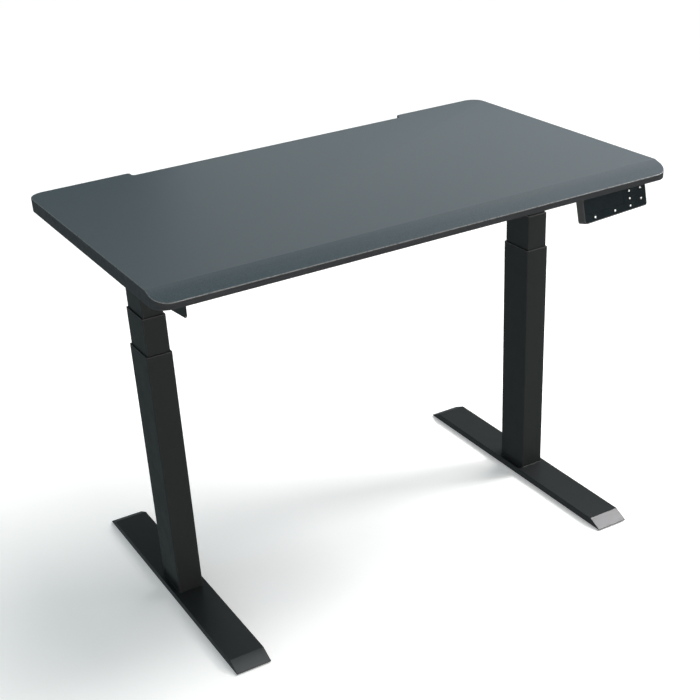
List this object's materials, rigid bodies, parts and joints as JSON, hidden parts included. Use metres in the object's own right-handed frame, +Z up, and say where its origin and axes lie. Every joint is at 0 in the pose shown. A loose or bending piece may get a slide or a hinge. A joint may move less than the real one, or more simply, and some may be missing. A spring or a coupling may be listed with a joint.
{
  "type": "height adjustable standing desk",
  "caption": "Two-column standing desk with telescoping legs, a laminated top with a sloped front edge and rear cable notch, and a handset.",
  "frame": {"origin": "on the floor under the centre of the desk (centre of the bounding box)", "axes": "+X to the sitter's right along the desktop, +Y away from the sitter, +Z up"},
  "size_m": [1.016, 0.618, 0.746],
  "materials": {
    "laminate": "matt dark grey laminate on particleboard",
    "black_powder_coat": "semi-gloss fine-texture powder coat",
    "plain_steel": "oiled steel",
    "zinc_housing": "die-cast and plated",
    "nylon": "moulded nylon",
    "rubber": "matt moulded rubber",
    "dark_plastic": "fine spark-textured ABS",
    "gloss_black": "polished",
    "circuit_board": "solder mask"
  },
  "bodies": {
    "base": {"left_foot": "black_powder_coat", "left_base_plate": "plain_steel", "left_outer_tube": "black_powder_coat", "left_outer_guide": "nylon", "left_lift_post": "plain_steel", "right_foot": "black_powder_coat", "right_base_plate": "plain_steel", "right_outer_tube": "black_powder_coat", "right_outer_guide": "nylon", "right_lift_post": "plain_steel"},
    "top": {"desktop": "laminate", "left_inner_tube": "black_powder_coat", "left_inner_nut": "nylon", "left_column_head": "black_powder_coat", "left_gearbox": "zinc_housing", "left_motor": "zinc_housing", "left_side_bracket": "black_powder_coat", "left_front_desk_pad": "rubber", "left_rear_desk_pad": "rubber", "right_inner_tube": "black_powder_coat", "right_inner_nut": "nylon", "right_column_head": "black_powder_coat", "right_gearbox": "zinc_housing", "right_motor": "zinc_housing", "right_side_bracket": "black_powder_coat", "right_front_desk_pad": "rubber", "right_rear_desk_pad": "rubber", "front_crossbar_left": "black_powder_coat", "front_crossbar_right": "black_powder_coat", "rear_crossbar_left": "black_powder_coat", "rear_crossbar_right": "black_powder_coat", "control_box_housing": "dark_plastic", "control_box_lid": "dark_plastic", "mains_inlet": "dark_plastic", "control_circuit_board": "circuit_board", "handset_casing": "dark_plastic", "handset_panel": "gloss_black", "handset_display": "gloss_black", "handset_circuit_board": "circuit_board"},
    "left_middle_stage": {"left_middle_tube": "black_powder_coat", "left_middle_guide": "nylon", "left_bearing_plate": "plain_steel"},
    "left_sleeve": {"left_screw_sleeve": "plain_steel"},
    "left_shaft": {"left_drive_shaft": "plain_steel"},
    "left_front_glide": {"left_front_levelling_glide": "rubber"},
    "left_rear_glide": {"left_rear_levelling_glide": "rubber"},
    "right_middle_stage": {"right_middle_tube": "black_powder_coat", "right_middle_guide": "nylon", "right_bearing_plate": "plain_steel"},
    "right_sleeve": {"right_screw_sleeve": "plain_steel"},
    "right_shaft": {"right_drive_shaft": "plain_steel"},
    "right_front_glide": {"right_front_levelling_glide": "rubber"},
    "right_rear_glide": {"right_rear_levelling_glide": "rubber"},
    "memory_key_body": {"memory_key": "gloss_black"},
    "reminder_key_body": {"reminder_key": "gloss_black"},
    "preset_3_key_body": {"preset_3_key": "gloss_black"},
    "preset_2_key_body": {"preset_2_key": "gloss_black"},
    "preset_1_key_body": {"preset_1_key": "gloss_black"},
    "down_key_body": {"down_key": "gloss_black"},
    "up_key_body": {"up_key": "gloss_black"}
  },
  "joints": [
    {"name": "lift", "type": "slide", "parent": "base", "child": "top", "axis": [0, 0, 1], "range_m": [-0.135, 0.515]},
    {"name": "left_middle_lift", "type": "slide", "parent": "base", "child": "left_middle_stage", "axis": [0, 0, 1], "range_m": [-0.0675, 0.2575]},
    {"name": "left_sleeve_spin", "type": "hinge", "parent": "left_middle_stage", "child": "left_sleeve", "pos_m": [-0.417, 0.003, 0.1], "axis": [0, 0, 1], "range_deg": [-2430.2, 9270.9]},
    {"name": "left_shaft_spin", "type": "hinge", "parent": "top", "child": "left_shaft", "pos_m": [-0.417, 0.003, 0.6], "axis": [0, 0, 1], "range_deg": [-2430.2, 9270.9]},
    {"name": "left_front_glide_adjust", "type": "slide", "parent": "base", "child": "left_front_glide", "axis": [0, 0, -1], "range_m": [0, 0.005]},
    {"name": "left_rear_glide_adjust", "type": "slide", "parent": "base", "child": "left_rear_glide", "axis": [0, 0, -1], "range_m": [0, 0.005]},
    {"name": "right_middle_lift", "type": "slide", "parent": "base", "child": "right_middle_stage", "axis": [0, 0, 1], "range_m": [-0.0675, 0.2575]},
    {"name": "right_sleeve_spin", "type": "hinge", "parent": "right_middle_stage", "child": "right_sleeve", "pos_m": [0.417, 0.003, 0.1], "axis": [0, 0, 1], "range_deg": [-2430.2, 9270.9]},
    {"name": "right_shaft_spin", "type": "hinge", "parent": "top", "child": "right_shaft", "pos_m": [0.417, 0.003, 0.6], "axis": [0, 0, 1], "range_deg": [-2430.2, 9270.9]},
    {"name": "right_front_glide_adjust", "type": "slide", "parent": "base", "child": "right_front_glide", "axis": [0, 0, -1], "range_m": [0, 0.005]},
    {"name": "right_rear_glide_adjust", "type": "slide", "parent": "base", "child": "right_rear_glide", "axis": [0, 0, -1], "range_m": [0, 0.005]},
    {"name": "memory_key_press", "type": "slide", "parent": "top", "child": "memory_key_body", "axis": [-0.085, 0.9718, -0.2198], "range_m": [0, 0.0006], "stiffness_N_per_m": 1500},
    {"name": "reminder_key_press", "type": "slide", "parent": "top", "child": "reminder_key_body", "axis": [-0.085, 0.9718, -0.2198], "range_m": [0, 0.0006], "stiffness_N_per_m": 1500},
    {"name": "preset_3_key_press", "type": "slide", "parent": "top", "child": "preset_3_key_body", "axis": [-0.085, 0.9718, -0.2198], "range_m": [0, 0.0006], "stiffness_N_per_m": 1500},
    {"name": "preset_2_key_press", "type": "slide", "parent": "top", "child": "preset_2_key_body", "axis": [-0.085, 0.9718, -0.2198], "range_m": [0, 0.0006], "stiffness_N_per_m": 1500},
    {"name": "preset_1_key_press", "type": "slide", "parent": "top", "child": "preset_1_key_body", "axis": [-0.085, 0.9718, -0.2198], "range_m": [0, 0.0006], "stiffness_N_per_m": 1500},
    {"name": "down_key_press", "type": "slide", "parent": "top", "child": "down_key_body", "axis": [-0.085, 0.9718, -0.2198], "range_m": [0, 0.0006], "stiffness_N_per_m": 1500},
    {"name": "up_key_press", "type": "slide", "parent": "top", "child": "up_key_body", "axis": [-0.085, 0.9718, -0.2198], "range_m": [0, 0.0006], "stiffness_N_per_m": 1500}
  ],
  "couplings": [
    {"joint": "left_middle_lift", "follows": "lift", "ratio": 0.5},
    {"joint": "left_sleeve_spin", "follows": "lift", "rad_per_m": 314.16},
    {"joint": "left_shaft_spin", "follows": "lift", "rad_per_m": 314.16},
    {"joint": "right_middle_lift", "follows": "lift", "ratio": 0.5},
    {"joint": "right_sleeve_spin", "follows": "lift", "rad_per_m": 314.16},
    {"joint": "right_shaft_spin", "follows": "lift", "rad_per_m": 314.16}
  ]
}
